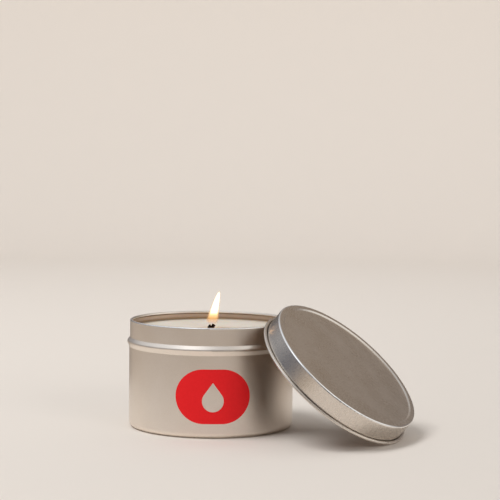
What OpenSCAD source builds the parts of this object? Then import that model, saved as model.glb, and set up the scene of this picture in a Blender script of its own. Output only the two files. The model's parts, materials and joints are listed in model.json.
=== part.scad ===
// Candle tin with its slip lid leaning on the rim.
// The origin is the centre of the base, on the surface that the tin stands on. +Z is up.
// The lid is drawn flat with its hem at z = 0, and then leaned against the tin.

/* [Tin body] */
// Outside diameter of the wall
body_d = 77; // [70:1:84]
// Height of the open tin
body_h = 50; // [46:1:60]
// Thickness of the tinplate
sheet = 0.3; // [0.25:0.05:0.35]
// How far the neck stands inside the wall's outside face
neck_inset = 0.35; // [0.3:0.05:0.5]
// Outside radius of the rolled corner at the base
base_corner = 2.5; // [2:0.1:3]
// Width of the flat ring that the tin stands on
foot_w = 1.6; // [1.2:0.1:2]
// Height of the base panel above the standing surface
base_recess = 0.8; // [0.6:0.1:1]
// Outside radius of the curl at the rim
curl_r = 0.65; // [0.6:0.05:0.75]

/* [Bead] */
// Distance from the rim down to the bead's crest
bead_drop = 10.2; // [9:0.1:11]
// How far the crest stands out from the wall
bead_out = 0.9; // [0.7:0.05:1.1]
// Radius of the rounded crest
bead_r = 1.2; // [1.1:0.05:1.4]
// Length of the slope from the crest down to the wall
bead_slope = 2.4; // [2:0.1:3]
// Length of the slope from the crest up to the neck
bead_rise = 2; // [1.6:0.1:2.4]

/* [Lid] */
// Height of the lid, hem included
lid_h = 9.85; // [9:0.05:11]
// Play between the neck and the inside of the skirt
lid_play = 0.1; // [0.08:0.01:0.15]
// Outside radius of the corner between the skirt and the top
lid_corner = 0.7; // [0.6:0.05:0.9]
// Depth of the recessed top panel
lid_recess = 0.5; // [0.3:0.05:0.7]
// Width of the raised border round the top panel
lid_border = 2.5; // [2:0.1:3.5]
// Width of the slope between the border and the panel
lid_slope = 0.7; // [0.5:0.05:1]
// Half the height of the rolled hem
hem_r = 0.6; // [0.55:0.05:0.65]
// How far the hem stands out from the skirt
hem_out = 1.55; // [1.4:0.05:1.7]
// Gap between the skirt and the raw edge of the hem
hem_gap = 0.45; // [0.3:0.05:0.5]

/* [Leaning lid] */
// Tilt of the lid from level
lean = 41; // [40:0.5:42]
// Compass direction of the lean, from +X towards +Y
lean_turn = -27.2; // [-60:0.1:60]
// Distance from the tin's axis to the middle of the lid's open end
lean_reach = 63.6; // [63.5:0.1:64]

/* [Candle] */
// Depth from the rim to the top of the wax
wax_drop = 4.1; // [4:0.1:8]
// Height that the wax climbs where it meets the wall
wax_climb = 0.3; // [0.2:0.05:0.4]
// Radius of one of the three strands of the flat wick
strand_r = 0.6; // [0.5:0.05:0.65]
// Distance between the strands' centres
strand_gap = 0.95; // [0.85:0.05:1]
// Height that the wick stands out of the wax
wick_out = 1.9; // [1.5:0.1:3]
// Diameter of the steel wick tab
tab_d = 20; // [15:1:30]
// Height of the tab's crimped neck
tab_neck = 5; // [4:0.5:8]
// Diameter of the sticker under the tab
sticker_d = 18; // [14:1:28]
// Thickness of the sticker
sticker_t = 0.8; // [0.5:0.1:1]

/* [Front mark] */
// Width of the mark, measured straight across
mark_w = 33.4; // [20:0.2:40]
// Height of the mark
mark_h = 24.6; // [16:0.2:26]
// Height of the mark's centre above the standing surface
mark_z = 19.1; // [18:0.1:22]
// Turn of the mark from -Y towards +X
mark_turn = 2.7; // [-10:0.1:10]
// Thickness of the printed film
mark_t = 0.1; // [0.08:0.01:0.15]

/* [Hidden] */

$fn = 128;
joint_gap = 0.05;
body_r = body_d / 2;
neck_r = body_r - neck_inset;
foot_r = body_r - base_corner;
panel_r = foot_r - foot_w - base_recess;
base_top = base_recess + sheet;
curl_z = body_h - curl_r;
bead_z = body_h - bead_drop;
bead_c = body_r + bead_out - bead_r;
wax_z = body_h - wax_drop;
lid_in = neck_r + lid_play;
lid_r = lid_in + sheet;
hem_c = lid_r + hem_out - hem_r;
lid_panel_r = lid_r - lid_border - lid_slope;
sticker_top = base_top + sticker_t;
tab_top = sticker_top + sheet;
neck_top = tab_top + tab_neck;
wick_top = wax_z + wick_out;
curl_gap = 0.2;

// Point where a line from p touches the circle at c with radius r; side is 1 or -1
function touch(c, r, p, side) =
    let (d = p - c, away = atan2(d[1], d[0]), swing = acos(r / norm(d)))
    c + r * [cos(away + side * swing), sin(away + side * swing)];

// Middle of the lid's open end above the floor when its hem rests there
function lean_lift() = (hem_c * sin(lean)) + hem_r * (1 - cos(lean));

// Half section of the formed bead, t inside its outer face
module bead_2d(t) {
    crest = [bead_c, bead_z];
    low = [body_r - t, bead_z - bead_slope];
    high = [neck_r - t, bead_z + bead_rise];
    translate(crest) circle(r = bead_r - t);
    polygon([
        [low[0] - 1, low[1]], low, touch(crest, bead_r - t, low, 1), crest,
        touch(crest, bead_r - t, high, -1), high, [low[0] - 1, high[1]]
    ]);
}

// Half section of the whole cup, t inside its outer face and closed at height top
module cup_2d(t, top) {
    difference() {
        union() {
            translate([0, base_corner]) square([body_r - t, bead_z - bead_slope - base_corner]);
            translate([0, t]) square([foot_r, base_corner]);
            translate([foot_r, base_corner]) circle(r = base_corner - t);
            translate([0, base_corner]) square([neck_r - t, top - base_corner]);
            bead_2d(t);
        }
        polygon([
            [-1, -1], [-1, base_recess + t], [panel_r, base_recess + t],
            [panel_r + base_recess, t], [panel_r + base_recess, -1]
        ]);
    }
}

// Half section of the inward curl at the rim, with the gap where the curl ends
module curl_2d() {
    difference() {
        translate([neck_r - curl_r, curl_z]) circle(r = curl_r);
        translate([neck_r - curl_r, curl_z]) circle(r = curl_r - sheet);
        translate([neck_r - sheet - curl_gap, curl_z - curl_r]) square([curl_gap, curl_r]);
    }
}

module tin_body() {
    color("#a89d90") rotate_extrude() {
        difference() {
            cup_2d(0, curl_z);
            cup_2d(sheet, body_h);
        }
        curl_2d();
    }
}

// Half section of the lid, t inside its outer face
module lid_2d(t) {
    difference() {
        union() {
            square([lid_r - t, lid_h - lid_corner]);
            square([lid_r - lid_corner, lid_h - t]);
            translate([lid_r - lid_corner, lid_h - lid_corner]) circle(r = lid_corner - t);
        }
        polygon([
            [-1, lid_h + 1], [-1, lid_h - lid_recess - t], [lid_panel_r, lid_h - lid_recess - t],
            [lid_panel_r + lid_slope, lid_h - t], [lid_panel_r + lid_slope, lid_h + 1]
        ]);
    }
}

// Rounded bar that follows the hem's section, r thick each way from its middle line
module hem_bar_2d(r) {
    translate([lid_in + hem_r, hem_r]) circle(r = r);
    translate([hem_c, hem_r]) circle(r = r);
    translate([lid_in + hem_r, hem_r - r]) square([hem_c - lid_in - hem_r, 2 * r]);
}

// Half section of the outward hem, with the groove where the sheet ends
module hem_2d() {
    difference() {
        hem_bar_2d(hem_r);
        hem_bar_2d(hem_r - sheet);
        translate([lid_r, hem_r]) square([hem_gap, hem_r]);
    }
}

module lid_shape() {
    rotate_extrude() {
        difference() {
            translate([lid_in, hem_r]) square([sheet, lid_h - lid_corner - hem_r]);
            translate([lid_in + hem_r, hem_r]) circle(r = hem_r - sheet);
        }
        difference() {
            lid_2d(0);
            lid_2d(sheet);
            square([lid_r, lid_h - lid_corner]);
        }
        hem_2d();
    }
}

module lid() {
    color("#9c8f80")
        rotate([0, 0, lean_turn])
            translate([lean_reach, 0, lean_lift()])
                rotate([0, lean, 0])
                    lid_shape();
}

// Wax surface with its rounded climb at the wall
module wax_2d() {
    edge = neck_r - sheet - joint_gap;
    difference() {
        cup_2d(sheet + joint_gap, wax_z + wax_climb);
        translate([0, wax_z]) square([edge - wax_climb, 1]);
        translate([edge - wax_climb, wax_z + wax_climb]) circle(r = wax_climb);
    }
}

// The three strands, each grown by gap, between two heights
module strands(gap, low, high) {
    for (i = [-1:1]) {
        translate([i * strand_gap, 0, low]) cylinder(h = high - low, r = strand_r + gap);
    }
}

module wax() {
    color("#ece3d2") difference() {
        rotate_extrude() wax_2d();
        translate([0, 0, base_top - 1])
            cylinder(h = sticker_t + sheet + 1 + joint_gap, d = max(tab_d, sticker_d) + 2 * joint_gap);
        cylinder(h = neck_top + joint_gap, r = tab_neck_r() + joint_gap);
        strands(joint_gap, neck_top, wax_z + 1);
    }
}

// Charred tip: the two outer strands stand above the middle one
module wick() {
    color("#3a2a20") {
        strands(0, tab_top + joint_gap, wick_top - 1);
        for (side = [-1, 1]) {
            translate([side * strand_gap, 0, wick_top - 1]) cylinder(h = 1 - strand_r, r = strand_r);
            translate([side * strand_gap, 0, wick_top - strand_r]) sphere(r = strand_r);
        }
    }
}

function tab_neck_r() = strand_gap + strand_r + joint_gap + sheet;

module wick_tab() {
    color("#b9bcc0") difference() {
        union() {
            translate([0, 0, sticker_top]) cylinder(h = sheet, d = tab_d);
            translate([0, 0, sticker_top]) cylinder(h = neck_top - sticker_top, r = tab_neck_r());
        }
        strands(joint_gap, tab_top, neck_top + 1);
    }
}

module tab_sticker() {
    color("#f2f2ee")
        translate([0, 0, base_top + joint_gap / 2])
            cylinder(h = sticker_t - joint_gap, d = sticker_d);
}

// Rounded badge outline, w wide and h high
module badge_2d(w, h) {
    for (side = [-1, 1]) {
        translate([side * (w - h) / 2, 0]) circle(d = h);
    }
    square([w - h, h], center = true);
}

// Drop shape, with its round end of radius r at the origin and its point up
module drop_2d(r) {
    tip = [0, 1.7 * r];
    circle(r = r);
    polygon([[0, 0], touch([0, 0], r, tip, -1), tip, touch([0, 0], r, tip, 1)]);
}

// Film of the mark's thickness round the whole wall
module film() {
    mark_r = body_r + joint_gap / 2;
    difference() {
        cylinder(h = mark_z + mark_h, r = mark_r + mark_t);
        translate([0, 0, -1]) cylinder(h = mark_z + mark_h + 2, r = mark_r);
    }
}

module front_mark() {
    color("#c8191e") rotate([0, 0, mark_turn]) difference() {
        intersection() {
            film();
            translate([0, 0, mark_z]) rotate([90, 0, 0])
                linear_extrude(height = body_r + 5) badge_2d(mark_w, mark_h);
        }
        translate([0, 0, mark_z - mark_h / 12]) rotate([90, 0, 0])
            linear_extrude(height = body_r + 5) drop_2d(mark_h / 5);
    }
}

tin_body();
lid();
wax();
wick();
wick_tab();
tab_sticker();
front_mark();
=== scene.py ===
"""Looks of the candle tin: satin tinplate, poured wax, charred wick, flame and printed mark."""

import json
import math

import bmesh
import bpy
from mathutils import Matrix, Vector, noise


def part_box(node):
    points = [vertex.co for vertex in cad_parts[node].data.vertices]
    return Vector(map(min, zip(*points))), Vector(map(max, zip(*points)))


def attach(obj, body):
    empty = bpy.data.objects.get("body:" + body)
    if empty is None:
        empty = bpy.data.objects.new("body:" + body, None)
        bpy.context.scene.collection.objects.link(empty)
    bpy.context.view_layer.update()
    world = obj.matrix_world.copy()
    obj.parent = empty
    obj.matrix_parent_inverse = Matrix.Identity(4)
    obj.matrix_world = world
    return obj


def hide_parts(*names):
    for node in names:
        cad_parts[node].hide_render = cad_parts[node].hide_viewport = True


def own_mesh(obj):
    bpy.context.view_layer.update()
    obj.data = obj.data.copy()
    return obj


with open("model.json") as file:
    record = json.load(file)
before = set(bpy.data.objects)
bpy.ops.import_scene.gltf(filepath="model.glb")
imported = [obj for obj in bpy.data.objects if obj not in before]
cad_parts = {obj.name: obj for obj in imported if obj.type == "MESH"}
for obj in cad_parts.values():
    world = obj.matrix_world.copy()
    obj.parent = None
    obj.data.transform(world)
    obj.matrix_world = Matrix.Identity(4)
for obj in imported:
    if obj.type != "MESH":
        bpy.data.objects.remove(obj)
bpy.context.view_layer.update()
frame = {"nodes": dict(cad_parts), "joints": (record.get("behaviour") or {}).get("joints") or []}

MM = 0.001


# ---------------------------------------------------------------- Sizes from the frame

tin_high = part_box("tin_body")[1]
wax_low, wax_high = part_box("wax")
wick_low, wick_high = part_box("wick")
tab_low, tab_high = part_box("wick_tab")
sticker_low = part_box("tab_sticker")[0]
swing = frame["joints"][0]

SHEET = 0.3 * MM  # thickness of the tinplate
GAP = 0.05 * MM  # room between the wax and what it touches
WAX_CLIMB = 0.3 * MM  # how far the wax climbs at the wall
UNDER_BEAD = 30 * MM  # a height where the wall is plain
wax_z = wax_high.z - WAX_CLIMB


def reach(node, low, high):
    """Largest distance from the tin's axis that a node has between two heights."""
    points = [vertex.co for vertex in frame["nodes"][node].data.vertices]
    return max(math.hypot(p.x, p.y) for p in points if low <= p.z <= high)


wax_neck = reach("wax", wax_z, wax_high.z)
wax_bead = reach("wax", 0, wax_high.z)
wax_wall = reach("wax", 0, UNDER_BEAD)

flame_base = Vector((0.1 * MM, 0, wick_high.z - 0.5 * MM))
flame_tip = Vector((3.6 * MM, 0, wick_high.z + 15.6 * MM))


def lid_to_axis():
    """Carries a point of the leaning lid onto the tin's axis, as the joint does at full travel."""
    pivot = Matrix.Translation(Vector(swing["pos_m"]))
    turn = Matrix.Rotation(math.radians(swing["range_deg"][1]), 4, Vector(swing["axis"]))
    return pivot @ turn @ pivot.inverted()


# ---------------------------------------------------------------- Materials

BOUNDARY = 0.04 * MM  # half width of the border between two finishes of the tinplate
# Painted highlight: colour of the rubbed edge, brighter than the metal so its highlights read whiter
RUBBED_EDGE_HIGHLIGHT = (0.93, 0.92, 0.91)
LACQUER_DEPTH = 3.2 * MM  # height below its upper limit over which the lacquer's tone, its painted reflection and its painted shade change
# Lacquer tone by height, low to high: its own golden brown low down, then a brown band and a pinker
# band that are a painted reflection of the flame and wax, and darkest at the top as painted shade
# under the rim curl
LACQUER_SHADE_AND_REFLECTION_STOPS = [
    (0.0, (0.46, 0.30, 0.15)),
    (0.25, (0.40, 0.285, 0.20)),
    (0.5, (0.60, 0.465, 0.37)),
    (0.72, (0.60, 0.465, 0.37)),
    (0.86, (0.30, 0.20, 0.125)),
    (1.0, (0.22, 0.14, 0.085)),
]


class Paint:
    """One procedural material. Each call adds nodes and returns the last one's output."""

    def __init__(self, name, surface):
        self.material = bpy.data.materials.new(name)
        self.material.use_nodes = True
        self.tree = self.material.node_tree
        self.surface = self.tree.nodes["Principled BSDF"]
        for socket, value in surface.items():
            self.surface.inputs[socket].default_value = value

    def node(self, kind, settings=None, inputs=None):
        """Adds a node and returns the node itself; an input is a value or another node's output."""
        made = self.tree.nodes.new(kind)
        for key, value in (settings or {}).items():
            setattr(made, key, value)
        for socket, value in (inputs or {}).items():
            if isinstance(value, bpy.types.NodeSocket):
                self.tree.links.new(value, made.inputs[socket])
            else:
                made.inputs[socket].default_value = value
        return made

    def place(self, scale=(1, 1, 1), frame_matrix=None):
        """Object coordinates, first carried by frame_matrix and then stretched by scale."""
        spot = self.node("ShaderNodeTexCoord").outputs["Object"]
        if frame_matrix is not None:
            carry = {
                "Vector": spot,
                "Location": frame_matrix.translation,
                "Rotation": frame_matrix.to_euler("XYZ"),
            }
            spot = self.node("ShaderNodeMapping", inputs=carry).outputs["Vector"]
        stretch = {"Vector": spot, "Scale": scale}
        return self.node("ShaderNodeMapping", inputs=stretch).outputs["Vector"]

    def noise(self, spot, scale, detail=3, rough=0.5, twist=0):
        look = {"Scale": scale, "Detail": detail, "Roughness": rough, "Distortion": twist}
        return self.node("ShaderNodeTexNoise", inputs={"Vector": spot, **look}).outputs["Fac"]

    def spread(self, value, low, high, to_low, to_high):
        """Maps low..high to to_low..to_high, and clamps outside."""
        span = {"From Min": low, "From Max": high, "To Min": to_low, "To Max": to_high}
        return self.node("ShaderNodeMapRange", inputs={"Value": value, **span}).outputs["Result"]

    def vary(self, field, to_low, to_high):
        """Maps the middle span of a noise field, where most of it lies, to to_low..to_high."""
        return self.spread(field, 0.3, 0.7, to_low, to_high)

    def beyond(self, value, limit):
        """1 where value is above limit and 0 below it."""
        return self.spread(value, limit - BOUNDARY, limit + BOUNDARY, 0, 1)

    def short_of(self, value, limit):
        """1 where value is below limit and 0 above it."""
        return self.spread(value, limit - BOUNDARY, limit + BOUNDARY, 1, 0)

    def math(self, operation, a, b):
        return self.node("ShaderNodeMath", {"operation": operation}, {0: a, 1: b}).outputs["Value"]

    def from_axis(self, x, y):
        """Distance from the tin's axis."""
        squares = self.math("ADD", self.math("MULTIPLY", x, x), self.math("MULTIPLY", y, y))
        return self.math("SQRT", squares, 0)

    def ramp(self, value, stops):
        made = self.node("ShaderNodeValToRGB", inputs={"Fac": value})
        band = made.color_ramp
        while len(band.elements) < len(stops):
            band.elements.new(0.5)
        for element, (at, color) in zip(band.elements, stops):
            element.position = at
            element.color = (*color, 1)
        return made.outputs["Color"]

    def mix(self, share, a, b):
        """Color between a, at share 0, and b, at share 1."""
        a, b = (c if isinstance(c, bpy.types.NodeSocket) else (*c, 1) for c in (a, b))
        return self.node("ShaderNodeMix", {"data_type": "RGBA"}, {0: share, 6: a, 7: b}).outputs[2]

    def bump(self, height, depth, under=None):
        inputs = {"Height": height, "Distance": depth, "Strength": 1}
        if under is not None:
            inputs["Normal"] = under
        return self.node("ShaderNodeBump", inputs=inputs).outputs["Normal"]

    def split(self, spot):
        return self.node("ShaderNodeSeparateXYZ", inputs={"Vector": spot}).outputs

    def set(self, socket, output):
        self.tree.links.new(output, self.surface.inputs[socket])

    def show(self, shader):
        """Puts another shader in place of the Principled one."""
        self.tree.links.new(shader, self.tree.nodes["Material Output"].inputs["Surface"])
        self.tree.nodes.remove(self.surface)


def tinplate(name, dark, light, rough, speckle, inside, rubbed_highlight, frame_matrix=None):
    """Satin tinplate: cloudy tone, fine grain along the wall, speckle and a few hair scratches.

    Brown lacquer covers what is nearer the axis than the first number of inside, between its two
    heights; near its upper limit its tone holds painted shade and a painted reflection. The edge
    outside the radius and above the height given for the rubbed edge is rubbed smoother and painted
    brighter as a highlight. The lid leans, so its frame_matrix carries it onto the tin's axis before
    any of this is measured.
    """
    paint = Paint(name, {"Metallic": 1})
    even = paint.place(frame_matrix=frame_matrix)
    drawn = paint.place((1, 1, 0.12), frame_matrix)
    cloud = paint.noise(even, 60, 3, 0.55)
    speck = paint.noise(even, 2600, 2, 0.6)
    streak = paint.noise(drawn, 3800, 2, 0.6)
    scratch_field = paint.noise(paint.place((9, 160, 40), frame_matrix), 9, 4, 0.6, 0.6)
    dots = paint.spread(paint.noise(even, 1500, 1, 0.5), 0.74, 0.80, 0, 1)
    scratch = paint.math("MAXIMUM", paint.spread(scratch_field, 0.72, 0.78, 0, 0.5), dots)

    x, y, z = paint.split(even)
    from_axis = paint.from_axis(x, y)
    radius, low, high = inside
    between = paint.math("MULTIPLY", paint.beyond(z, low), paint.short_of(z, high))
    lacquered = paint.math("MULTIPLY", paint.short_of(from_axis, radius), between)
    # The lacquer's tone by height holds painted shade under the rim curl and a painted reflection of
    # the flame and wax
    depth = paint.spread(z, high - LACQUER_DEPTH, high, 0.05, 0.95)
    lacquer_shade_and_reflection = paint.ramp(paint.math("ADD", depth, paint.vary(cloud, -0.05, 0.05)), LACQUER_SHADE_AND_REFLECTION_STOPS)
    # Rubbed edge: smoother from wear, and painted brighter as a highlight
    radius, low = rubbed_highlight
    rubbed_and_highlight = paint.math("MULTIPLY", paint.beyond(from_axis, radius), paint.beyond(z, low))

    tone = paint.math("ADD", paint.vary(cloud, 0, 1 - speckle), paint.vary(speck, 0, speckle))
    scratched = tuple(min(1, 1.25 * c) for c in light)
    color = paint.mix(tone, dark, light)
    color = paint.mix(paint.math("MULTIPLY", scratch, 0.35), color, scratched)
    # Painted highlight on the rubbed edge
    color = paint.mix(rubbed_and_highlight, color, RUBBED_EDGE_HIGHLIGHT)
    paint.set("Base Color", paint.mix(lacquered, color, lacquer_shade_and_reflection))

    uneven = paint.math("ADD", paint.vary(cloud, -0.03, 0.03), paint.vary(streak, -0.04, 0.04))
    worn = paint.spread(rubbed_and_highlight, 0, 1, rough, rough - 0.12)
    paint.set("Roughness", paint.math("ADD", uneven, worn))
    coarse = paint.bump(speck, 0.002 * MM)
    paint.set("Normal", paint.bump(streak, 0.004 * MM, coarse))
    return paint.material


def printed_red():
    """Flat red print with a faint mottle, a little rougher than the metal under it."""
    paint = Paint("red_print", {"Specular IOR Level": 0.25})
    spot = paint.place()
    mottle = paint.noise(spot, 900, 3, 0.6)
    paint.set("Base Color", paint.mix(mottle, (0.80, 0.006, 0.010), (0.90, 0.014, 0.020)))
    paint.set("Roughness", paint.vary(mottle, 0.42, 0.56))
    paint.set("Normal", paint.bump(paint.noise(spot, 2600, 2, 0.6), 0.006 * MM))
    return paint.material


def bright_steel():
    """Pressed steel of the wick tab, with the press's fine rings."""
    paint = Paint("tab_steel", {"Metallic": 1})
    spot = paint.place()
    rings = paint.node(
        "ShaderNodeTexWave",
        {"wave_type": "RINGS", "rings_direction": "Z"},
        {"Vector": spot, "Scale": 900, "Distortion": 2, "Detail": 2},
    )
    wear = paint.noise(spot, 500, 3, 0.6)
    paint.set("Base Color", paint.mix(wear, (0.52, 0.53, 0.55), (0.70, 0.71, 0.73)))
    paint.set("Roughness", paint.vary(wear, 0.22, 0.38))
    paint.set("Normal", paint.bump(rings.outputs["Fac"], 0.01 * MM))
    return paint.material


def white_foam():
    """Closed-cell foam tape."""
    paint = Paint("sticker_foam", {"Roughness": 0.85})
    cells = paint.node("ShaderNodeTexVoronoi", inputs={"Vector": paint.place(), "Scale": 3500})
    distance = cells.outputs["Distance"]
    bubble = paint.spread(distance, 0, 0.6, 0, 1)
    paint.set("Base Color", paint.mix(bubble, (0.88, 0.88, 0.85), (0.96, 0.96, 0.94)))
    paint.set("Normal", paint.bump(distance, 0.05 * MM))
    return paint.material


def candle_wax():
    """Cream wax: soft light through it, faint mottle, wetter round the wick, with painted shade
    darkening it at the wall.
    """
    subsurface = {
        "Subsurface Weight": 0.45,
        "Subsurface Radius": (1.0, 0.72, 0.45),
        "Subsurface Scale": 3 * MM,
        "Specular IOR Level": 0.45,
    }
    paint = Paint("candle_wax", subsurface)
    spot = paint.place()
    mottle = paint.noise(spot, 140, 4, 0.6)
    frost = paint.noise(spot, 1500, 3, 0.6)
    x, y, _ = paint.split(spot)
    radius = paint.from_axis(x, y)
    near_wick = paint.spread(radius, 4 * MM, 11 * MM, 1, 0)
    cream = paint.mix(mottle, (0.76, 0.69, 0.59), (0.85, 0.79, 0.70))
    # Painted shade: the wax is darkened towards the wall, where the wall shades it
    painted_wall_shade = paint.ramp(
        paint.spread(radius, wax_neck - 6 * MM, wax_neck, 0, 1),
        [(0.0, (0, 0, 0)), (0.6, (0.22, 0.22, 0.22)), (1.0, (0.9, 0.9, 0.9))],
    )
    paint.set("Base Color", paint.mix(painted_wall_shade, cream, (0.52, 0.41, 0.30)))
    wetness = paint.math("MULTIPLY", near_wick, 0.20)
    paint.set("Roughness", paint.math("SUBTRACT", paint.vary(frost, 0.34, 0.50), wetness))
    gentle = paint.bump(mottle, 0.05 * MM)
    paint.set("Normal", paint.bump(frost, 0.012 * MM, gentle))
    return paint.material


def charred_cotton():
    """Cotton steeped in wax below, scorched brown and then black where it burns, with ash flecks."""
    paint = Paint("wick_cotton", {"Specular IOR Level": 0.12})
    spot = paint.place()
    height = paint.split(spot)[2]
    fray = paint.vary(paint.noise(spot, 1800, 3, 0.6), -0.35 * MM, 0.35 * MM)
    frayed = paint.math("ADD", height, fray)
    burnt = paint.spread(frayed, wax_z - 1.5 * MM, wax_z + 1.0 * MM, 0, 1)
    steeped, scorched, black = (0.78, 0.68, 0.50), (0.16, 0.06, 0.02), (0.008, 0.004, 0.003)
    color = paint.ramp(burnt, [(0, steeped), (0.45, scorched), (0.75, black)])
    ash = paint.spread(paint.noise(spot, 4200, 2, 0.5), 0.66, 0.74, 0, 0.35)
    flecks = paint.math("MULTIPLY", ash, burnt)
    paint.set("Base Color", paint.mix(flecks, color, (0.16, 0.14, 0.13)))
    paint.set("Roughness", paint.spread(burnt, 0, 1, 0.5, 0.95))
    fibres = paint.noise(paint.place((1, 1, 0.25)), 6500, 3, 0.6)
    paint.set("Normal", paint.bump(fibres, 0.06 * MM))
    return paint.material


def flame_glow(name, stops, strength, cover):
    """Light of one flame skin. Stops hold its color, and cover how much it hides, both by height."""
    paint = Paint(name, {})
    height = paint.split(paint.place())[2]
    along = paint.spread(height, flame_base.z, flame_tip.z, 0, 1)
    light = {"Color": paint.ramp(along, stops), "Strength": strength}
    glow = paint.node("ShaderNodeEmission", inputs=light).outputs["Emission"]
    clear = paint.node("ShaderNodeBsdfTransparent").outputs["BSDF"]
    share = paint.ramp(along, [(at, (value, value, value)) for at, value in cover])
    blend = paint.node("ShaderNodeMixShader", inputs={0: share, 1: clear, 2: glow})
    paint.show(blend.outputs["Shader"])
    return paint.material


def sweep_paper():
    """The sweep of paper that the tin stands on."""
    paint = Paint("sweep_paper", {"Roughness": 0.95, "Specular IOR Level": 0.1})
    color = (0.82, 0.763, 0.706)
    tooth = paint.noise(paint.place(), 900, 3, 0.6)
    paint.set("Base Color", paint.mix(tooth, tuple(0.985 * c for c in color), color))
    paint.set("Normal", paint.bump(tooth, 0.03 * MM))
    return paint.material


# ---------------------------------------------------------------- Mesh helpers


def new_piece(name, bm, material):
    """Turns a bmesh into a smooth object with outward faces and one material."""
    bmesh.ops.recalc_face_normals(bm, faces=bm.faces)
    for face in bm.faces:
        face.smooth = True
    mesh = bpy.data.meshes.new(name)
    bm.to_mesh(mesh)
    bm.free()
    piece = bpy.data.objects.new(name, mesh)
    bpy.context.scene.collection.objects.link(piece)
    piece.data.materials.append(material)
    return piece


def circle(sides, offset=0.0):
    """Angles of the corners of a regular ring."""
    return [2 * math.pi * (i + offset) / sides for i in range(sides)]


def skin(bm, rings, closed=False):
    """Quads between rings of equal count; closed joins the last ring to the first."""
    rows = [[bm.verts.new(point) for point in ring] for ring in rings]
    pairs = list(zip(rows, rows[1:])) + ([(rows[-1], rows[0])] if closed else [])
    count = len(rows[0])
    for low, high in pairs:
        for i in range(count):
            j = (i + 1) % count
            bm.faces.new((low[i], low[j], high[j], high[i]))
    return rows


def cap(bm, row, middle):
    """Fan of triangles from a ring of vertices to one middle point."""
    centre = bm.verts.new(middle)
    for i in range(len(row)):
        bm.faces.new((row[i], row[(i + 1) % len(row)], centre))


def arc(centre, radius, start, end, steps):
    """Points on an arc of a half section, from start to end degrees."""
    turns = [math.radians(start + (end - start) * i / steps) for i in range(steps + 1)]
    return [(centre[0] + radius * math.cos(t), centre[1] + radius * math.sin(t)) for t in turns]


# ---------------------------------------------------------------- Camera, lights and stage

LENS = 115.2  # millimetres
SENSOR = 36  # width in millimetres
CAMERA_PLACE = (17.713 * MM, -748.5 * MM, 130.9 * MM)
CAMERA_DOWN = 3.686  # degrees below level
CAMERA_ROLL = 0.616  # degrees
ROOM_LIGHT = 0.345

NEAR_PAPER = 0.15  # radius of the paper that shows in the metal, in metres like all of the stage
FLOOR = 1.1  # radius of the level part of the sweep
BEND = 0.35  # radius of the curve from floor to wall
WALL = 0.75  # height of the wall's upper edge
DOME = 3  # radius of the sphere that the metal mirrors

# What the metal mirrors: colors by height, from straight down at 0 to straight up at 1
ROOM_STOPS = [
    (0.36, (0.64, 0.55, 0.46)),
    (0.43, (0.54, 0.46, 0.38)),
    (0.485, (0.44, 0.37, 0.305)),
    (0.515, (0.16, 0.165, 0.19)),
    (0.62, (0.11, 0.12, 0.155)),
]
REAR_WALL = (0.47, 0.405, 0.345)
REAR_RIGHT = (0.20, 0.14, 0.09)
REAR_CENTRE = (0.15, 0.125, 0.105)

# Directions of its three bright panels, and their colors
MAIN_PANEL = (-0.55, -0.10, 0.83)
MAIN_PANEL_STOPS = [
    (0.0, (0.30, 0.238, 0.182)),
    (0.33, (0.39, 0.345, 0.31)),
    (0.7, (0.56, 0.57, 0.59)),
    (0.93, (0.78, 0.80, 0.83)),
]
SIDE_PANEL = (0.84, -0.07, 0.54)
SIDE_PANEL_LIGHT = (0.98, 0.97, 0.95)
HOT_SPOT = (-0.33, -0.40, 0.855)
HOT_SPOT_LIGHT = (1.6, 1.64, 1.7)


def camera():
    """Nearly level, slightly above the rim, with a long lens."""
    data = bpy.data.cameras.new("camera")
    data.lens = LENS
    data.sensor_width = SENSOR
    data.clip_start = 0.05
    data.clip_end = 20
    eye = bpy.data.objects.new("camera", data)
    bpy.context.scene.collection.objects.link(eye)
    pitch = Matrix.Rotation(math.radians(90 - CAMERA_DOWN), 4, "X")
    roll = Matrix.Rotation(math.radians(CAMERA_ROLL), 4, "Z")
    eye.matrix_world = Matrix.Translation(CAMERA_PLACE) @ pitch @ roll
    bpy.context.scene.camera = eye


def soft_box(name, place, target, size, energy):
    """Area light that neither the camera nor any reflection shows; the metal mirrors studio_dome."""
    data = bpy.data.lights.new(name, "AREA")
    data.shape = "RECTANGLE"
    data.size, data.size_y = size
    data.energy = energy
    lamp = bpy.data.objects.new(name, data)
    bpy.context.scene.collection.objects.link(lamp)
    lamp.location = place
    lamp.rotation_mode = "QUATERNION"
    lamp.rotation_quaternion = (Vector(target) - Vector(place)).to_track_quat("-Z", "Y")
    lamp.visible_camera = False
    lamp.visible_glossy = False


def sweep():
    """Round sweep of pale paper: flat floor that curves up into a low wall all round.

    Its near part shows in the metal. For the rest, the metal mirrors studio_dome.
    """
    paper = sweep_paper()
    turns = circle(96)

    def lathe(name, outline, centre=None):
        """Turns an outline of radius and height; centre closes its middle."""
        bm = bmesh.new()
        rows = skin(bm, [[(r * math.cos(t), r * math.sin(t), z) for t in turns] for r, z in outline])
        if centre is not None:
            cap(bm, rows[0], centre)
        made = new_piece(name, bm, paper)
        return made

    lathe("paper_near", [(0.004, 0), (0.1, 0), (NEAR_PAPER, 0)], (0, 0, 0))
    wall = arc((FLOOR, BEND), BEND, -90, 0, 16)[1:] + [(FLOOR + BEND, WALL)]
    lathe("paper_far", [(NEAR_PAPER, 0), (0.6, 0), (FLOOR, 0), *wall]).visible_glossy = False


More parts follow.
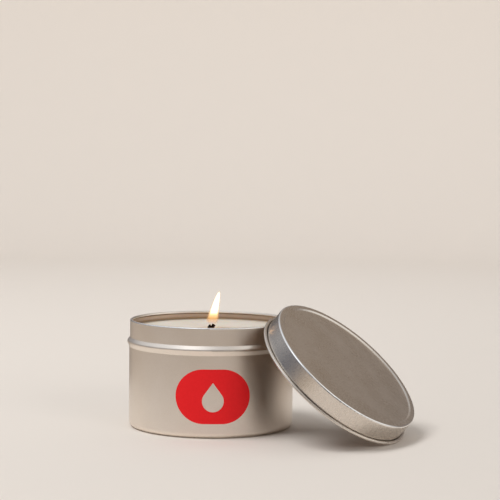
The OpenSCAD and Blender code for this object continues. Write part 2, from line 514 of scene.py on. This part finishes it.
def studio_dome():
    """What reflections show: pale paper low down and behind, a dim room in front, panels overhead."""
    paint = Paint("studio_reflections", {})
    unit = paint.node("ShaderNodeVectorMath", {"operation": "NORMALIZE"}, {0: paint.place()})
    way = unit.outputs["Vector"]
    x, y, z = paint.split(way)

    def near(aim, low, high):
        """Grows from 0 to 1 as the cosine of the angle to aim goes from low to high."""
        made = paint.node("ShaderNodeVectorMath", {"operation": "DOT_PRODUCT"}, {0: way, 1: aim})
        return paint.spread(made.outputs["Value"], low, high, 0, 1)

    rear = paint.mix(paint.spread(x, 0.55, 0.9, 0, 1), REAR_WALL, REAR_RIGHT)
    rear = paint.mix(paint.spread(y, 0.74, 0.93, 0, 1), rear, REAR_CENTRE)
    behind = paint.spread(y, 0.1, 0.4, 0, 1)
    low_down = paint.spread(z, 0.10, 0.26, 1, 0)
    room = paint.ramp(paint.spread(z, -1, 1, 0, 1), ROOM_STOPS)
    light = paint.mix(paint.math("MULTIPLY", behind, low_down), room, rear)
    panel = paint.ramp(near(MAIN_PANEL, 0, 1), MAIN_PANEL_STOPS)
    light = paint.mix(paint.spread(z, 0.28, 0.42, 0, 1), light, panel)
    light = paint.mix(near(SIDE_PANEL, 0.78, 0.92), light, SIDE_PANEL_LIGHT)
    light = paint.mix(near(HOT_SPOT, 0.95, 0.98), light, HOT_SPOT_LIGHT)
    glow = paint.node("ShaderNodeEmission", inputs={"Color": light, "Strength": 1})
    paint.show(glow.outputs["Emission"])
    paint.material.cycles.emission_sampling = "NONE"
    bm = bmesh.new()
    bmesh.ops.create_uvsphere(bm, u_segments=48, v_segments=24, radius=DOME)
    dome = new_piece("studio_dome", bm, paint.material)
    dome.visible_camera = False
    dome.visible_diffuse = False
    dome.visible_transmission = False
    dome.visible_shadow = False


def surroundings():
    """Dim even room light for the matte surfaces."""
    world = bpy.data.worlds.new("room")
    world.use_nodes = True
    room = world.node_tree.nodes["Background"]
    room.inputs["Color"].default_value = (1, 1, 1, 1)
    room.inputs["Strength"].default_value = ROOM_LIGHT
    bpy.context.scene.world = world


bpy.context.scene.view_settings.view_transform = "Standard"
camera()
surroundings()
sweep()
studio_dome()
soft_box("overhead", (-0.58, -0.22, 1.22), target=(0.10, 0, 0.02), size=(0.62, 0.62), energy=9.8)
soft_box("front_fill", (0.75, -0.95, 0.55), target=(0, 0, 0.03), size=(0.5, 0.5), energy=2.6)
soft_box("back_fill", (0.1, 0.45, 1.2), target=(0, 1.45, 0.6), size=(1.2, 0.5), energy=5.6)


# ---------------------------------------------------------------- Tinplate, tab and mark

LID_CORNER = 3 * MM  # more than the lid's rounded corner and raised rim take up
LACQUER_FOOT = 1.5 * MM  # height where the tin's lacquer starts
RIM_CURL = 0.9 * MM  # height of the tin's rim that stays bare
RIM_RUB_AND_HIGHLIGHT = 0.5 * MM  # height of the tin's rim that is rubbed smoother and painted brighter as a highlight
CORNER_RUB_AND_HIGHLIGHT = 0.6 * MM  # the same on the lid, inwards and downwards

lid_frame = lid_to_axis()
lid_points = [lid_frame @ vertex.co for vertex in frame["nodes"]["lid"].data.vertices]
lid_top = max(p.z for p in lid_points)
lid_skirt = max(math.hypot(p.x, p.y) for p in lid_points if p.z > lid_top - LID_CORNER)
lid_panel = max(p.z for p in lid_points if math.hypot(p.x, p.y) < lid_skirt - LID_CORNER)

# Lacquered inside, with painted shade and a painted reflection near its top: largest radius, lowest
# and highest height
TIN_INSIDE = (wax_neck + GAP + SHEET / 2, LACQUER_FOOT, tin_high.z - RIM_CURL)
# The lid's inside is lacquered dark brown to deepen the shade that the tin's wall mirrors beside the
# lid: painted shade
LID_INSIDE = (lid_skirt - SHEET / 2, 0, lid_panel - SHEET / 2)

# Rubbed edge, smoother and painted brighter as a highlight: smallest radius and lowest height
TIN_RUBBED_HIGHLIGHT = (wax_neck, tin_high.z - RIM_RUB_AND_HIGHLIGHT)
LID_RUBBED_HIGHLIGHT = (lid_skirt - CORNER_RUB_AND_HIGHLIGHT, lid_top - CORNER_RUB_AND_HIGHLIGHT)

SEEN_NODES = {
    "tin_body": tinplate(
        "satin_tinplate",
        dark=(0.87, 0.79, 0.705),
        light=(0.95, 0.88, 0.805),
        rough=0.39,
        speckle=0.5,
        inside=TIN_INSIDE,
        rubbed_highlight=TIN_RUBBED_HIGHLIGHT,
    ),
    # The lid's tones are darker and browner than the tin's: painted shade, a shaded copy of the same
    # tinplate
    "lid": tinplate(
        "satin_lid",
        dark=(0.66, 0.60, 0.53),
        light=(0.84, 0.78, 0.72),
        rough=0.28,
        speckle=0.8,
        inside=LID_INSIDE,
        rubbed_highlight=LID_RUBBED_HIGHLIGHT,
        frame_matrix=lid_frame,
    ),
    "front_mark": printed_red(),
    "wick_tab": bright_steel(),
    "tab_sticker": white_foam(),
}
for node_name, node_material in SEEN_NODES.items():
    node_slots = frame["nodes"][node_name].data.materials
    for index in range(len(node_slots)):
        node_slots[index] = node_material


# ---------------------------------------------------------------- Wax

WICK_HALF_WIDTH = (wick_high.x - wick_low.x) / 2
WICK_HALF_THICK = (wick_high.y - wick_low.y) / 2
SLOT_GROW = 0.06 * MM  # room between the wick and the wax
TAB_NECK = 2 * MM  # radius of the hole round the tab's neck
FOOT_CORNER = 2.15 * MM  # radius of the wax's lower corner
FOOT_WIDTH = 2.4 * MM  # width of the wax's lowest ring, inside that corner


def slot_point(turn):
    """Point on the outline of the flat wick's slot, in the direction of turn."""
    flat = WICK_HALF_WIDTH - WICK_HALF_THICK
    radius = WICK_HALF_THICK + SLOT_GROW
    side = 1 if math.cos(turn) >= 0 else -1
    return side * flat + radius * math.cos(turn), radius * math.sin(turn)


def wax_top(x, y):
    """Height of the top: dish round the wick, climbs at wick and wall, slow waves from cooling."""
    radius = math.hypot(x, y)
    dish = -0.30 * MM * math.exp(-((radius / (7 * MM)) ** 2))
    climb = WAX_CLIMB * math.exp(-(wax_neck - radius) / (0.5 * MM))
    wick_edge = max(0.0, radius - WICK_HALF_THICK)
    cling = 0.35 * MM * math.exp(-wick_edge / (0.7 * MM))
    wave = 0.10 * MM * noise.noise(Vector((x, y, 0)) / (13 * MM))
    ripple = 0.03 * MM * noise.noise(Vector((x, y, 4 * MM)) / (3.5 * MM))
    fade = max(0.0, min(1.0, (wax_neck - radius) / (3 * MM)))
    return wax_z - 0.02 * MM + dish + climb + cling + (wave + ripple) * fade


def wax_piece():
    """Poured wax round its wick, tab and foam: a closed skin from the slot over the top and back."""
    turns = circle(160, 0.5)

    def ring(radius, z, slot_share=0.0):
        """Ring between a circle, at slot_share 0, and the wick's slot, at 1."""
        points = []
        for t in turns:
            slot_x, slot_y = slot_point(t)
            round_x, round_y = radius * math.cos(t), radius * math.sin(t)
            x = round_x + (slot_x - round_x) * slot_share
            y = round_y + (slot_y - round_y) * slot_share
            points.append((x, y, z))
        return points

    def top_ring(radius, slot_share=0.0):
        return [(x, y, wax_top(x, y)) for x, y, _ in ring(radius, 0, slot_share)]

    # Slot of the wick, upwards
    neck_z = tab_high.z + GAP
    rings = [ring(0, z, 1.0) for z in (neck_z, wax_z - 6 * MM, wax_z - 1.2 * MM)]
    rings.append(top_ring(0, 1.0))

    # Top, outwards from the wick to the wall
    by_wick = [(1.9, 0.85), (2.2, 0.6), (2.6, 0.35), (3.1, 0.15), (3.8, 0)]
    rings += [top_ring(radius * MM, slot_share) for radius, slot_share in by_wick]
    inner, outer, steps = 3.8 * MM, wax_neck - 1 * MM, 26
    rings += [top_ring(inner + (outer - inner) * i / steps) for i in range(1, steps + 1)]
    climb_steps = (0.7, 0.45, 0.28, 0.16, 0.08, 0.03, 0)
    rings += [top_ring(wax_neck - from_wall * MM) for from_wall in climb_steps]

    # Wall, downwards past the bead to the foot, with heights in millimetres
    bead_flank = wax_bead - 0.15 * MM
    wall = [(wax_neck, 41.7), (bead_flank, 40.2), (wax_bead, 39.8), (bead_flank, 39.3)]
    wall += [(wax_wall, z) for z in (37.4, 30, 20, 10, 5)]
    rings += [ring(radius, z * MM) for radius, z in wall]
    bend = arc((wax_wall - FOOT_CORNER, wax_low.z + FOOT_CORNER), FOOT_CORNER, 0, -90, 8)
    rings += [ring(radius, z) for radius, z in bend]

    # Underside, inwards over the foam and the tab to its neck
    foot = wax_wall - FOOT_CORNER - FOOT_WIDTH
    panel_z = sticker_low.z + GAP
    tab_r = tab_high.x + GAP
    tab_z = tab_low.z + SHEET + GAP
    underside = [
        (foot, wax_low.z),
        (foot - 0.8 * MM, panel_z),
        (tab_r + 4 * MM, panel_z),
        (tab_r, panel_z),
        (tab_r, tab_z),
        (TAB_NECK + 3 * MM, tab_z),
        (TAB_NECK, tab_z),
        (TAB_NECK, neck_z),
    ]
    rings += [ring(radius, z) for radius, z in underside]

    bm = bmesh.new()
    skin(bm, rings, closed=True)
    wax = new_piece("poured_wax", bm, candle_wax())
    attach(wax, "candle")
    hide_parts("wax")


wax_piece()


# ---------------------------------------------------------------- Wick

STRANDS = 3
STRAND_RADIUS = 0.40 * MM
BRAID_PITCH = 5.2 * MM
BRAID_SWING = 1.05 * MM  # how far a strand goes to each side
BRAID_CROSSING = 0.20 * MM  # how far it goes to front and back
WICK_FREE = 0.3 * MM  # height of the braid's end above the wax, under the burnt lump


def strand(bm, path, radius, sides=14):
    """Closed tube of round section along path."""
    rings = []
    for i, point in enumerate(path):
        ahead = path[min(i + 1, len(path) - 1)] - path[max(i - 1, 0)]
        across = ahead.cross(Vector((0, 1, 0))).normalized()
        other = ahead.cross(across).normalized()
        ring = [point + radius * (across * math.cos(t) + other * math.sin(t)) for t in circle(sides)]
        rings.append(ring)
    rows = skin(bm, rings)
    cap(bm, rows[0], path[0])
    cap(bm, rows[-1], path[-1])


def wick_piece(cotton):
    """Flat three-strand braid from the tab up to its burnt end."""
    foot, free, steps = wick_low.z, wax_z + WICK_FREE, 120
    bm = bmesh.new()
    for number in range(STRANDS):
        path = []
        for i in range(steps + 1):
            z = foot + (free - foot) * i / steps
            turn = 2 * math.pi * (z / BRAID_PITCH + number / STRANDS)
            x, y = BRAID_SWING * math.sin(turn), BRAID_CROSSING * math.sin(2 * turn)
            path.append(Vector((x, y, z)))
        strand(bm, path, STRAND_RADIUS)
    wick = new_piece("braided_wick", bm, cotton)
    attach(wick, "candle")
    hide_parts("wick")


def burnt_end(cotton):
    """Charred lump at the top of the wick, with a small side curl that leans towards the lid."""
    top = wick_high.z
    lumps = [  # sideways place, depth below the top, radius, in millimetres
        (-1.30, 1.75, 0.62), (-0.70, 1.60, 0.72), (0.05, 1.55, 0.72), (0.65, 1.50, 0.66),
        (-0.85, 0.95, 0.56), (0.72, 0.66, 0.62), (1.42, 0.95, 0.40),
    ]
    flatten = Matrix.Diagonal((1, 0.8, 1, 1))
    bm = bmesh.new()
    for across, depth, radius in lumps:
        place = Matrix.Translation((across * MM, 0, top - depth * MM)) @ flatten
        bmesh.ops.create_icosphere(bm, subdivisions=3, radius=radius * MM, matrix=place)
    rough = new_piece("burnt_lumps", bm, cotton)
    weld = rough.modifiers.new("weld", "REMESH")
    weld.mode = "VOXEL"
    weld.voxel_size = 0.07 * MM
    welded = rough.evaluated_get(bpy.context.evaluated_depsgraph_get())
    mesh = bpy.data.meshes.new_from_object(welded)
    bpy.data.objects.remove(rough)
    for vertex in mesh.vertices:
        lumpy = 0.16 * MM * noise.noise(vertex.co / (0.42 * MM))
        crumbly = 0.07 * MM * noise.noise(vertex.co / (0.16 * MM))
        vertex.co += vertex.normal * (lumpy + crumbly)
    mesh.shade_smooth()
    tip = bpy.data.objects.new("burnt_wick_end", mesh)
    bpy.context.scene.collection.objects.link(tip)
    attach(tip, "candle")


wick_cotton = charred_cotton()
wick_piece(wick_cotton)
burnt_end(wick_cotton)


# ---------------------------------------------------------------- Flame

FLAME_WIDTH = 3.1 * MM  # largest half width of the outer skin, before it narrows to the tip
FLAME_DEPTH = 0.8  # front to back, as a share of the width
FLAME_LEAN = 1.25  # above 1, the flame leans more towards its tip
FLAME_END = 0.02 * MM  # half width of both ends
FOOT_SHARE = 0.10  # share of a skin's height over which its foot widens


def flame_layer(name, material, share, low, high):
    """One closed skin of the flame: share of the full width, between two shares of its height."""
    steps = 36
    turns = circle(40)
    middles, rings = [], []
    for i in range(steps + 1):
        climbed = (1 - math.cos(math.pi * i / steps)) / 2
        along = low + (high - low) * climbed
        foot = min(1.0, 0.45 + 0.55 * math.sqrt(climbed / FOOT_SHARE))
        width = FLAME_WIDTH * share * math.sqrt(1 - climbed) * foot
        if i in (0, steps):
            width = FLAME_END
        middle = flame_base.lerp(flame_tip, along)
        middle.x = flame_base.x + (flame_tip.x - flame_base.x) * along**FLAME_LEAN
        depth = FLAME_DEPTH * width
        ring = [middle + Vector((width * math.cos(t), depth * math.sin(t), 0)) for t in turns]
        middles.append(middle)
        rings.append(ring)
    bm = bmesh.new()
    rows = skin(bm, rings)
    cap(bm, rows[0], middles[0])
    cap(bm, rows[-1], middles[-1])
    layer = new_piece(name, bm, material)
    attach(layer, "candle")
    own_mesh(layer)


def flame():
    """Soft-edged candle flame of nested skins, white in the middle and amber low down.

    Only the core is far brighter than white, for its reflection in the lid, so the outline is smooth.
    """
    core = flame_glow(
        "flame_core",
        stops=[
            (0.0, (0.03, 0.013, 0.005)),
            (0.17, (0.04, 0.02, 0.006)),
            (0.30, (0.06, 0.04, 0.018)),
            (0.48, (1.0, 0.55, 0.24)),
        ],
        strength=32.0,
        cover=[(0.0, 0.0), (0.16, 0.08), (0.30, 0.5), (0.5, 0.9)],
    )
    body = flame_glow(
        "flame_body",
        stops=[
            (0.0, (0.84, 0.38, 0.18)),
            (0.17, (0.95, 0.50, 0.17)),
            (0.30, (1.0, 0.74, 0.40)),
            (0.48, (1.0, 0.94, 0.82)),
        ],
        strength=1.2,
        cover=[(0.0, 0.02), (0.14, 0.16), (0.30, 0.55), (0.5, 0.85)],
    )
    edge = flame_glow(
        "flame_edge",
        stops=[
            (0.0, (0.80, 0.36, 0.20)),
            (0.20, (1.0, 0.46, 0.14)),
            (0.45, (1.0, 0.70, 0.40)),
            (0.9, (1.0, 0.80, 0.55)),
        ],
        strength=0.95,
        cover=[(0.0, 0.02), (0.16, 0.12), (0.35, 0.24), (1.0, 0.26)],
    )
    flame_layer("flame_core", core, share=0.60, low=0.10, high=0.93)
    flame_layer("flame_body", body, share=0.82, low=0.04, high=0.97)
    flame_layer("flame_edge", edge, share=1.00, low=0.0, high=1.0)


flame()
